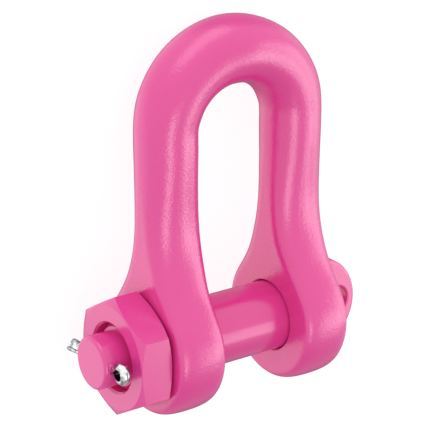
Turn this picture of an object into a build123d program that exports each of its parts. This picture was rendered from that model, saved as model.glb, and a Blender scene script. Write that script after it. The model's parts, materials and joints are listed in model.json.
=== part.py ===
from build123d import *
from math import asin, cos, degrees, radians, sin, sqrt, tan
import os

# A heavy chain shackle: a forged bow with two eyes, and a loose bolt across them that is held by a
# hexagon nut and a split pin. Millimetres. The pieces are drawn with the bow standing up: X runs along
# the bolt, Z from the bolt's axis up to the crown, and the origin is on that axis midway between the
# eyes. lay_down() then turns every piece onto its back, as the shackle rests on a floor.

# Bolt and eyes
bolt_dia = 50.0
bolt_play = 0.5             # radial, between the bolt and the bore of each eye
inside_width = 68.3         # between the two eyes
eye_thickness = 37.4
eye_dia = 97.0
eye_edge_axial = 18.2       # the rim of an eye is crowned, and turns quickly into each face
eye_edge_radial = 7.0
eye_edge_fullness = 0.74    # reach of that curve's handles towards the square corner
bore_chamfer = 1.0

# Legs and crown of the bow
leg_dia = 42.8
leg_spacing = 103.8         # between the centre lines of the legs
neck_depth = 37.0           # front to back, where an eye has run out into its leg
neck_radius = 95.0          # hollow curve from the eye into the leg
leg_length = 149.6          # bolt axis to the start of the arch
round_length = 8.0          # end of the leg that is fully round
inner_foot = 20.0           # height where the inside of a leg leaves the flat face of its eye
inner_run = 50.0            # height over which it then comes in to the round leg
arch_rise = 50.0            # centre line, above the start of the arch
crown_thickness = 46.2
crown_depth = 51.8
crown_swell = 0.85          # below 1, the bar thickens early along the arch
round_fullness = 0.5523     # the same for a quarter circle
least_flat = 1.0            # width of the flats that are left where a section is round

# Nut and the threaded end of the bolt
thread_dia = 48.0           # nominal, left smooth
thread_play = 0.05
nut_width = 75.0            # across flats
nut_thickness = 24.0
nut_gap = 1.4               # nut to eye, so that the bolt stays free to turn
nut_chamfer_angle = 25.0
nut_face_share = 0.98       # round face of the nut over its width
nut_countersink = 1.4
shoulder_gap = 0.3          # end of the shank to the nut
thread_recess = 4.5         # the threaded end stops this far inside the nut
thread_chamfer = 3.2

# Plain end of the bolt
stub_dia = 37.0
stub_length = 21.2
stub_edge = 2.5
pin_to_end = 7.9            # axis of the split pin to the end of the bolt
pin_hole_dia = 8.0

# Split pin, bent from half-round wire
pin_wire_dia = 7.4
pin_slit = 0.2              # between its two legs
pin_eye_bore = 7.6
pin_neck_radius = 6.0       # curve from each leg into the eye
pin_seat_gap = 0.3          # neck to the side of the bolt
pin_reach = 38.5            # bolt axis to the tip of the longer leg
pin_step = 3.0              # the other leg is this much shorter
pin_splay = 7.0             # degrees that the longer leg is bent aside
pin_bend_radius = 12.0

# Head of the bolt
head_gap = 0.3              # head to eye
collar_dia = 69.0
collar_thickness = 4.0
collar_edge = 1.2
tab_radius = 35.0           # round outline of the flat tab
tab_centre = 2.0            # centre of that outline, from the collar's seat
tab_thickness = 15.0
tab_edge = 2.5
tab_hole_dia = 21.0
tab_hole_offset = 17.8      # from that centre
tab_hole_edge = 1.5

# Places along the bolt that several pieces share
eye_inner = inside_width / 2
eye_outer = eye_inner + eye_thickness
nut_inner = eye_outer + nut_gap
nut_outer = nut_inner + nut_thickness
thread_end = nut_outer - thread_recess
bolt_end = thread_end + stub_length
pin_place = bolt_end - pin_to_end
head_seat = eye_outer + head_gap
collar_back = head_seat + collar_thickness

# Outline of an eye and its neck, seen along the bolt: a circle, then a hollow arc that touches it and
# ends upright where the neck is narrowest
eye_radius = eye_dia / 2
leg_radius = leg_dia / 2
neck_half = neck_depth / 2
neck_top = sqrt((eye_radius + neck_radius) ** 2 - (neck_half + neck_radius) ** 2)
neck_foot = neck_top * eye_radius / (eye_radius + neck_radius)
round_start = leg_length - round_length

# The shackle lies on the rims of its eyes and the back of its crown
rest_tilt = degrees(asin((eye_radius - crown_depth / 2) / (leg_length + arch_rise)))


def ease(share):
    share = max(0.0, min(1.0, share))
    return share * share * (3 - 2 * share)


def mix(start, end, share):
    return start + (end - start) * share


def half_depth(height, inset=0.0):
    """Half the outline's depth at a height above the bolt, or that of a line which runs inset inside it."""
    circle = eye_radius - inset
    hollow = neck_radius + inset
    if height <= neck_foot * circle / eye_radius:
        return sqrt(circle ** 2 - height ** 2)
    if height <= neck_top:
        return neck_half + neck_radius - sqrt(hollow ** 2 - (neck_top - height) ** 2)
    return mix(neck_half, leg_radius, ease((height - neck_top) / (round_start - neck_top))) - inset


def rounded_section(plane, half_x, half_y, edge_x, edge_y, fullness=round_fullness):
    """Face in a plane, bounded by four flats and four rounded corners."""
    edge_x = min(edge_x, half_x - least_flat / 2)
    edge_y = min(edge_y, half_y - least_flat / 2)
    spare = 1 - fullness
    corner = [(half_x, half_y - edge_y), (half_x, half_y - spare * edge_y),
              (half_x - spare * edge_x, half_y), (half_x - edge_x, half_y)]
    corners = []
    for side_x, side_y in ((1, 1), (-1, 1), (-1, -1), (1, -1)):
        points = [(side_x * x, side_y * y) for x, y in corner]
        corners.append(Bezier(*points[::side_x * side_y]))
    flats = [Line(corners[number - 1] @ 1, corners[number] @ 0) for number in range(4)]
    return plane * Face(Wire(flats + corners))


def leg_section(height, side):
    """Section across a leg: the rim's profile at the bolt's axis, and round from round_start on."""
    share = ease(height / round_start)
    inner = mix(eye_inner, leg_spacing / 2 - leg_radius, ease((height - inner_foot) / inner_run))
    outer = mix(eye_outer, leg_spacing / 2 + leg_radius, share)
    half_x = (outer - inner) / 2
    half_y = half_depth(height)
    edge_x = mix(eye_edge_axial, half_x, share)
    edge_y = mix(half_y - half_depth(height, eye_edge_radial), half_y, share)
    fullness = mix(eye_edge_fullness, round_fullness, ease(height / neck_top))
    plane = Plane(origin=(side * (inner + outer) / 2, 0, height), x_dir=(side, 0, 0), z_dir=(0, 0, side))
    return rounded_section(plane, half_x, half_y, edge_x, edge_y, fullness)


def arch_section(angle):
    """Section across the arch, at an angle from its right end: 90 degrees is the crown."""
    across = leg_spacing / 2 * cos(radians(angle))
    up = arch_rise * sin(radians(angle))
    along = (-leg_spacing / 2 * sin(radians(angle)), 0, arch_rise * cos(radians(angle)))
    outwards = (along[2], 0, -along[0])
    swell = (1 - abs(angle - 90) / 90) ** crown_swell
    half_x = mix(leg_radius, crown_thickness / 2, swell)
    half_y = mix(leg_radius, crown_depth / 2, swell)
    plane = Plane(origin=(across, 0, leg_length + up), x_dir=outwards, z_dir=along)
    return rounded_section(plane, half_x, half_y, half_x, half_y)


def rod(radius, start, end):
    """Cylinder on the bolt's axis, between two places along it."""
    return extrude(Plane.YZ.offset(start) * Circle(radius), end - start)


def turned(points):
    """Solid turned about the bolt's axis from (place along it, radius) points."""
    return revolve(make_face(Polyline(*points, close=True)), Axis.X)


def mouth_cutter(place, radius, depth):
    """Ring that bevels the edge of a bore at a face which crosses the bolt's axis."""
    return turned([(place - depth, 0), (place - depth, radius), (place, radius + depth),
                   (place + depth, radius), (place + depth, 0)])


def lower_rim(side):
    """Lower half of one eye: the section at the bolt's axis, swept half a turn about it."""
    upper_part = leg_section(0, side) & Pos(0, eye_radius, 0) * Box(4 * eye_outer, eye_dia, 1)
    return revolve(upper_part, Axis.X, -180)


def make_bow():
    heights = [neck_foot * share for share in (0, 0.2, 0.45, 0.7, 1)]
    heights += [mix(neck_foot, neck_top, step / 4) for step in range(1, 5)]
    heights += [mix(neck_top, round_start, step / 3) for step in range(1, 4)]
    right_leg = [leg_section(height, 1) for height in heights]
    arch = [arch_section(angle) for angle in range(0, 181, 15)]
    left_leg = [leg_section(height, -1) for height in reversed(heights)]
    bow = loft(right_leg + arch + left_leg) + lower_rim(1) + lower_rim(-1)
    bore_radius = bolt_dia / 2 + bolt_play
    bow -= rod(bore_radius, -2 * eye_outer, 2 * eye_outer)
    for face in (-eye_outer, -eye_inner, eye_inner, eye_outer):
        bow -= mouth_cutter(face, bore_radius, bore_chamfer)
    return bow


def make_nut():
    """Hexagon with one flat to the front, its corners turned off at both faces."""
    blank = Plane.YZ.offset(-nut_outer) * RegularPolygon(nut_width / 2, 6, major_radius=False, rotation=30)
    corner_radius = nut_width / sqrt(3)
    face_radius = nut_width / 2 * nut_face_share
    drop = (corner_radius - face_radius) * tan(radians(nut_chamfer_angle))
    envelope = turned([(-nut_outer, 0), (-nut_outer, face_radius), (drop - nut_outer, corner_radius),
                       (-nut_inner - drop, corner_radius), (-nut_inner, face_radius), (-nut_inner, 0)])
    nut = extrude(blank, nut_thickness) & envelope
    bore_radius = thread_dia / 2 + thread_play
    nut -= rod(bore_radius, -nut_outer, -nut_inner)
    for face in (-nut_outer, -nut_inner):
        nut -= mouth_cutter(face, bore_radius, nut_countersink)
    return nut


def make_tab():
    """Flat tab of the head, with its cross hole."""
    centre = Pos(head_seat + tab_centre, 0, 0)
    keep = Pos(collar_back - collar_edge, 0, 0) * Rectangle(
        2 * tab_radius, 3 * tab_radius, align=(Align.MIN, Align.CENTER)
    )
    outline = (centre * Circle(tab_radius)) & keep
    tab = extrude(Plane.XZ * outline, tab_thickness / 2, both=True)
    rim = tab.edges().filter_by(GeomType.CIRCLE)
    tab = fillet(rim, tab_edge)
    hole = centre * Pos(tab_hole_offset, 0, 0) * Rot(90, 0, 0) * Cylinder(tab_hole_dia / 2, tab_thickness)
    tab -= hole
    circles = tab.edges().filter_by(GeomType.CIRCLE)
    mouths = circles.filter_by(lambda edge: abs(edge.radius - tab_hole_dia / 2) < 0.01)
    return fillet(mouths, tab_hole_edge)


def make_bolt():
    shank_radius = bolt_dia / 2
    thread_radius = thread_dia / 2
    shank_end = nut_inner - shoulder_gap
    collar = rod(collar_dia / 2, head_seat, collar_back)
    collar = fillet(collar.edges().filter_by(GeomType.CIRCLE), collar_edge)
    thread = turned([(-shank_end, 0), (-shank_end, thread_radius),
                     (thread_chamfer - thread_end, thread_radius),
                     (-thread_end, thread_radius - thread_chamfer), (-thread_end, 0)])
    stub = rod(stub_dia / 2, -bolt_end, -thread_end)
    stub = fillet(stub.edges().sort_by(Axis.X)[0], stub_edge)
    hole = Pos(-pin_place, 0, 0) * Rot(90, 0, 0) * Cylinder(pin_hole_dia / 2, 2 * stub_dia)
    return rod(shank_radius, -shank_end, collar_back) + collar + make_tab() + thread + stub - hole


def make_split_pin():
    """Half-round wire: a short straight leg, the eye, and a longer leg that is bent aside."""
    face = pin_slit / 2
    bend_start = stub_dia / 2
    neck = -bend_start - pin_seat_gap
    eye_radius_inside = pin_eye_bore / 2
    reach = sqrt((eye_radius_inside + pin_neck_radius) ** 2 - (face + pin_neck_radius) ** 2)
    share = eye_radius_inside / (eye_radius_inside + pin_neck_radius)
    eye_centre = neck - reach
    touch = (eye_centre + share * reach, share * (face + pin_neck_radius))
    bend = JernArc((bend_start, -face), (1, 0), pin_bend_radius, -pin_splay)
    tip = (pin_reach, (bend @ 1).Y - (pin_reach - (bend @ 1).X) * tan(radians(pin_splay)))
    path = Wire([
        Line((pin_reach - pin_step, face), (neck, face)),
        TangentArc((neck, face), touch, tangent=(-1, 0)),
        ThreePointArc(touch, (eye_centre - eye_radius_inside, 0), (touch[0], -touch[1])),
        TangentArc((neck, -face), (touch[0], -touch[1]), tangent=(-1, 0)),
        Line((neck, -face), (bend_start, -face)),
        bend,
        Line(bend @ 1, tip),
    ])
    place = Plane(origin=(-pin_place, 0, 0), x_dir=(0, 1, 0), z_dir=(1, 0, 0))
    start = Plane(origin=(-pin_place, pin_reach - pin_step, face), x_dir=(1, 0, 0), z_dir=(0, -1, 0))
    wire_radius = pin_wire_dia / 2
    half_round = Circle(wire_radius) & Pos(0, wire_radius, 0) * Rectangle(pin_wire_dia, pin_wire_dia)
    return sweep(start * half_round, place * path)


def lay_down(shape):
    return Rot(-90 - rest_tilt, 0, 0) * shape


os.makedirs("parts", exist_ok=True)
export_step(lay_down(make_bow()), "parts/bow.step")
export_step(lay_down(make_bolt()), "parts/bolt.step")
export_step(lay_down(make_nut()), "parts/hex_nut.step")
export_step(lay_down(make_split_pin()), "parts/split_pin.step")
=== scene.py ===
import bpy
import json
from math import atan2, pi, radians
from mathutils import Matrix, Vector


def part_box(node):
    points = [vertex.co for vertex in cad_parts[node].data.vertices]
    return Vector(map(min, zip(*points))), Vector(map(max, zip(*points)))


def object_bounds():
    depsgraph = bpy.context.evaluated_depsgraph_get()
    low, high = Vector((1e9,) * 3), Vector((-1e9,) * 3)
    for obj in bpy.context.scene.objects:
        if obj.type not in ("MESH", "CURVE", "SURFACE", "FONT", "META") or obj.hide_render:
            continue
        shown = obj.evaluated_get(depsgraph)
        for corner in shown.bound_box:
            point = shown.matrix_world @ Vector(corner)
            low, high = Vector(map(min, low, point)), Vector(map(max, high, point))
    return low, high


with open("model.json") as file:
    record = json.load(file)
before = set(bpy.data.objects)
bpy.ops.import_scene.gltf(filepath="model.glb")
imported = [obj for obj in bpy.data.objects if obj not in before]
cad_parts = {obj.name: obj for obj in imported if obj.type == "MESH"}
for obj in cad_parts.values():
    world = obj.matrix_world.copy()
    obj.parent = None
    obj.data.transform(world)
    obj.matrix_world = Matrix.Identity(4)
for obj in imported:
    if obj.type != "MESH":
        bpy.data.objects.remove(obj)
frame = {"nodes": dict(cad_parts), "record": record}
cad_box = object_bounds()
scene = bpy.context.scene


# Bow: one steel forging with two eyes, shot-blasted and powder-coated in glossy pink. The coat is thick
# and smooth, with the faint orange-peel that powder leaves when it melts, over the forging's own skin.
coat_pink = (0.75, 0.047, 0.290, 1)
coat_deep = (0.72, 0.039, 0.268, 1)
coat_ior = 1.7
drift_scale = 14
peel_scale = 640
waves_scale = 70
waves_share = 0.7
relief_strength = 0.35
forged_peel = 0.00055
forged_roughness = 0.25


def speckle(nodes, links, place, scale, detail):
    noise = nodes.new("ShaderNodeTexNoise")
    noise.inputs["Scale"].default_value = scale
    noise.inputs["Detail"].default_value = detail
    links.new(place, noise.inputs["Vector"])
    return noise.outputs["Fac"]


def drifting_pink(nodes, links, place):
    # colour drifts a little where the powder lies thicker
    tint = nodes.new("ShaderNodeMix")
    tint.data_type = "RGBA"
    tint.inputs["A"].default_value = coat_deep
    tint.inputs["B"].default_value = coat_pink
    links.new(speckle(nodes, links, place, drift_scale, detail=3), tint.inputs["Factor"])
    return tint.outputs["Result"]


def orange_peel(nodes, links, place, peel_height):
    # orange-peel of a millimetre or two, and the broad waves of the skin under it
    relief = nodes.new("ShaderNodeMath")
    relief.operation = "MULTIPLY_ADD"
    relief.inputs[1].default_value = waves_share
    bump = nodes.new("ShaderNodeBump")
    bump.inputs["Strength"].default_value = relief_strength
    bump.inputs["Distance"].default_value = peel_height
    links.new(speckle(nodes, links, place, waves_scale, detail=2), relief.inputs[0])
    links.new(speckle(nodes, links, place, peel_scale, detail=2), relief.inputs[2])
    links.new(relief.outputs["Value"], bump.inputs["Height"])
    return bump.outputs["Normal"]


def powder_coat(name, peel_height, roughness):
    material = bpy.data.materials.new(name)
    material.use_nodes = True
    nodes, links = material.node_tree.nodes, material.node_tree.links
    shader = nodes["Principled BSDF"]
    place = nodes.new("ShaderNodeTexCoord").outputs["Object"]
    links.new(drifting_pink(nodes, links, place), shader.inputs["Base Color"])
    links.new(orange_peel(nodes, links, place, peel_height), shader.inputs["Normal"])
    shader.inputs["Roughness"].default_value = roughness
    shader.inputs["IOR"].default_value = coat_ior
    return material


def dress(piece_name, finish):
    piece = frame["nodes"][piece_name]
    piece.data.materials.clear()
    piece.data.materials.append(finish)


dress("bow", powder_coat("bow_powder_coat", forged_peel, forged_roughness))


# Bolt: forged and turned from one bar, with a flat head that has a cross hole, a threaded length and a plain
# end. It has the same pink coat as the bow, on a smoother turned surface.
turned_peel = 0.00008
turned_roughness = 0.2
dress("bolt", powder_coat("bolt_powder_coat", turned_peel, turned_roughness))


# Nut: a thin hexagon nut, machined, with its corners turned off at both faces, and coated like the bolt. It
# turns on the bolt's thread, up to the end of the shank, and the split pin keeps it there.
dress("hex_nut", powder_coat("nut_powder_coat", turned_peel, turned_roughness))


# Split pin: half-round steel wire with bright zinc plating, bent round to an eye and pushed through the
# hole in the bolt's end; its longer leg is bent aside. It has no paint. Its colour holds painted
# reflections, bright and grey clouds standing in for the room mirrored in the plating, and painted shade,
# dark in the bore of its eye.
# the dark colour is painted shade for the bore of the eye; the grey and bright colours are mixed into
# painted reflections
painted_bore_shade = (0.05, 0.045, 0.05, 1)
wire_grey_reflection = (0.32, 0.33, 0.34, 1)
wire_bright = (0.86, 0.87, 0.88, 1)
clouds_scale = 300
grey_up_to = 0.36
bright_from = 0.62
pin_bore_radius = 0.0038
pin_wire_depth = 0.0037
shade_starts_past_bore = 0.0002
bore_edge = 0.0004
drawn_scale = 900
drawn_height = 0.00002
drawn_strength = 0.2
shiniest_wire = 0.08
dullest_wire = 0.20

# the pin goes through the bolt in the same line as the cross hole in the bolt's head, with its eye on top
pin_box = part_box("split_pin")
head_hole = next(mount for mount in frame["record"]["mounts"] if mount["name"] == "head_hole")
pin_line = Vector(head_hole["axis"])
pin_eye = pin_line * ((pin_box[1].z - pin_bore_radius - pin_wire_depth) / pin_line.z)


def plating_with_painted_reflections(nodes, links, place):
    # painted reflections: the plating's colour clouds from bright to grey, standing in for the room mirrored
    # in the zinc
    edge = nodes.new("ShaderNodeMapRange")
    edge.interpolation_type = "SMOOTHSTEP"
    edge.inputs["From Min"].default_value = grey_up_to
    edge.inputs["From Max"].default_value = bright_from
    plating_and_reflections = nodes.new("ShaderNodeMix")
    plating_and_reflections.data_type = "RGBA"
    plating_and_reflections.inputs["A"].default_value = wire_grey_reflection
    plating_and_reflections.inputs["B"].default_value = wire_bright
    links.new(speckle(nodes, links, place, clouds_scale, detail=1), edge.inputs["Value"])
    links.new(edge.outputs["Result"], plating_and_reflections.inputs["Factor"])
    return plating_and_reflections.outputs["Result"]


def painted_shade_in_bore(nodes, links, place, plating_and_reflections):
    # painted shade: the wire turns dark inside the bore of the eye, where the inside lies in shadow
    # distance from the axis of the eye, which lies along the bolt
    from_eye = nodes.new("ShaderNodeVectorMath")
    from_eye.operation = "SUBTRACT"
    from_eye.inputs[1].default_value = pin_eye
    across = nodes.new("ShaderNodeVectorMath")
    across.operation = "MULTIPLY"
    across.inputs[1].default_value = (0, 1, 1)
    reach = nodes.new("ShaderNodeVectorMath")
    reach.operation = "LENGTH"
    bore = nodes.new("ShaderNodeMapRange")
    bore.inputs["From Min"].default_value = pin_bore_radius + shade_starts_past_bore
    bore.inputs["From Max"].default_value = pin_bore_radius + shade_starts_past_bore + bore_edge
    wire = nodes.new("ShaderNodeMix")
    wire.data_type = "RGBA"
    wire.inputs["A"].default_value = painted_bore_shade
    links.new(place, from_eye.inputs[0])
    links.new(from_eye.outputs["Vector"], across.inputs[0])
    links.new(across.outputs["Vector"], reach.inputs[0])
    links.new(reach.outputs["Value"], bore.inputs["Value"])
    links.new(bore.outputs["Result"], wire.inputs["Factor"])
    links.new(plating_and_reflections, wire.inputs["B"])
    return wire.outputs["Result"]


def zinc_wire_with_painted_light():
    material = bpy.data.materials.new("pin_zinc_painted_reflections_and_shade")
    material.use_nodes = True
    nodes, links = material.node_tree.nodes, material.node_tree.links
    shader = nodes["Principled BSDF"]
    shader.inputs["Metallic"].default_value = 1
    place = nodes.new("ShaderNodeTexCoord").outputs["Object"]
    # the base colour holds the painted reflections of the plating and, in the bore, painted shade
    plating_and_reflections = plating_with_painted_reflections(nodes, links, place)
    links.new(painted_shade_in_bore(nodes, links, place, plating_and_reflections), shader.inputs["Base Color"])

    # fine marks of the drawing die
    drawn = speckle(nodes, links, place, drawn_scale, detail=3)
    gloss = nodes.new("ShaderNodeMapRange")
    gloss.inputs["To Min"].default_value = shiniest_wire
    gloss.inputs["To Max"].default_value = dullest_wire
    bump = nodes.new("ShaderNodeBump")
    bump.inputs["Strength"].default_value = drawn_strength
    bump.inputs["Distance"].default_value = drawn_height
    links.new(drawn, gloss.inputs["Value"])
    links.new(drawn, bump.inputs["Height"])
    links.new(gloss.outputs["Result"], shader.inputs["Roughness"])
    links.new(bump.outputs["Normal"], shader.inputs["Normal"])
    return material


dress("split_pin", zinc_wire_with_painted_light())


# Floor: a plain pale studio floor that the shackle lies on. It glows, so that it looks white, and the
# shackle doesn't mirror it.
floor_width = 8
floor_grey = (0.15, 0.15, 0.15, 1)
floor_roughness = 0.9
floor_white = (1, 1, 1, 1)
floor_glow = 0.89
bpy.ops.object.select_all(action="DESELECT")
bpy.ops.mesh.primitive_plane_add(size=floor_width, location=(0, 0, cad_box[0].z))
floor = bpy.context.object
floor.name = "floor"
bpy.ops.object.transform_apply()
pale = bpy.data.materials.new("floor_pale")
pale.use_nodes = True
pale_shader = pale.node_tree.nodes["Principled BSDF"]
pale_shader.inputs["Base Color"].default_value = floor_grey
pale_shader.inputs["Roughness"].default_value = floor_roughness
pale_shader.inputs["Emission Color"].default_value = floor_white
pale_shader.inputs["Emission Strength"].default_value = floor_glow
floor.data.materials.append(pale)
floor.visible_glossy = False


# Camera: it looks at the shackle as the photograph does. The angles are taken with the shackle standing on
# its eyes, and the shackle lies tilted back from there by a quarter turn and a little more.
view_azimuth = -36.03
view_elevation = 19.57
view_roll = 0.26
view_distance = 1.1642
view_height = 0.075
lens_length = 140.68
sensor_width = 36
shift_right = -0.0302
shift_up = 0.0207
nearest_seen = 0.05
rest_tilt = atan2(head_hole["axis"][1], head_hole["axis"][2])
laid_down = Matrix.Rotation(-pi / 2 - rest_tilt, 4, "X")
view_centre = laid_down @ Matrix.Translation((0, 0, view_height))


def bearing(azimuth, elevation):
    round_about = Matrix.Rotation(radians(azimuth), 4, "Z")
    return round_about @ Matrix.Rotation(pi / 2 - radians(elevation), 4, "X")


turned = bearing(view_azimuth, view_elevation) @ Matrix.Rotation(radians(view_roll), 4, "Z")
bpy.ops.object.camera_add()
camera = bpy.context.object
camera.matrix_world = view_centre @ turned @ Matrix.Translation((0, 0, view_distance))
camera.data.sensor_width = sensor_width
camera.data.lens = lens_length
camera.data.shift_x = shift_right
camera.data.shift_y = shift_up
camera.data.clip_start = nearest_seen
scene.camera = camera


# Light: a white room, brighter past the crown and the nut and darker past the eyes, behind the shackle and
# where the top of the bolt mirrors it, and four soft boxes that only show as reflections. Their angles are
# the camera's kind.
room_white = (1, 1, 1, 1)
room_brightness = 1.08
box_distance = 1.5
world = bpy.data.worlds.new("studio")
scene.world = world
world.use_nodes = True
room = world.node_tree.nodes["Background"]
room.inputs["Color"].default_value = room_white
room_place = world.node_tree.nodes.new("ShaderNodeTexCoord")
room_light = world.node_tree.nodes.new("ShaderNodeValue")
room_light.outputs["Value"].default_value = room_brightness


def shade_room(so_far, direction, start, end, share):
    # start and end are cosines of the angle to the direction; from one to the other the light eases from
    # all of itself to that share
    nodes, links = world.node_tree.nodes, world.node_tree.links
    towards = nodes.new("ShaderNodeVectorMath")
    towards.operation = "DOT_PRODUCT"
    towards.inputs[1].default_value = direction
    shade = nodes.new("ShaderNodeMapRange")
    shade.interpolation_type = "SMOOTHSTEP"
    shade.inputs["From Min"].default_value = start
    shade.inputs["From Max"].default_value = end
    shade.inputs["To Min"].default_value = 1
    shade.inputs["To Max"].default_value = share
    product = nodes.new("ShaderNodeMath")
    product.operation = "MULTIPLY"
    links.new(room_place.outputs["Generated"], towards.inputs[0])
    links.new(towards.outputs["Value"], shade.inputs["Value"])
    links.new(so_far, product.inputs[0])
    links.new(shade.outputs["Result"], product.inputs[1])
    return product.outputs["Value"]


def soft_box(name, azimuth, elevation, width, height, power):
    bpy.ops.object.light_add(type="AREA")
    lamp = bpy.context.object
    lamp.name = name
    lamp.matrix_world = view_centre @ bearing(azimuth, elevation) @ Matrix.Translation((0, 0, box_distance))
    lamp.data.shape = "RECTANGLE"
    lamp.data.size = width
    lamp.data.size_y = height
    lamp.data.energy = power
    lamp.visible_diffuse = False


# where the light changes: past the crown, where the top of the bolt mirrors the room, straight away from the
# camera, and the same again on the nut's side
outwards = Vector((0, 0, 1))
past_crown = laid_down.to_3x3() @ outwards
over_bolt = (laid_down @ bearing(azimuth=134, elevation=39.7)).to_3x3() @ outwards
away = (laid_down @ turned).to_3x3() @ -outwards
past_nut = away * Vector((-1, 1, 1))

light = room_light.outputs["Value"]
light = shade_room(light, -past_crown, start=0.35, end=0.85, share=0.45)
light = shade_room(light, past_crown, start=0.3, end=0.9, share=1.12)
light = shade_room(light, away, start=0.72, end=0.96, share=0.25)
light = shade_room(light, past_nut, start=0.75, end=0.95, share=1.35)
light = shade_room(light, over_bolt, start=0.80, end=0.97, share=0.35)
world.node_tree.links.new(light, room.inputs["Strength"])
scene.view_settings.view_transform = "Standard"

soft_box("right_box", azimuth=64, elevation=0, width=1.05, height=1.10, power=6.8)
soft_box("low_box", azimuth=41, elevation=-15, width=0.58, height=0.74, power=2.9)
soft_box("top_strip", azimuth=-18, elevation=-18, width=0.5, height=0.75, power=3.4)
soft_box("crown_box", azimuth=-75, elevation=81, width=0.75, height=1.6, power=5.8)
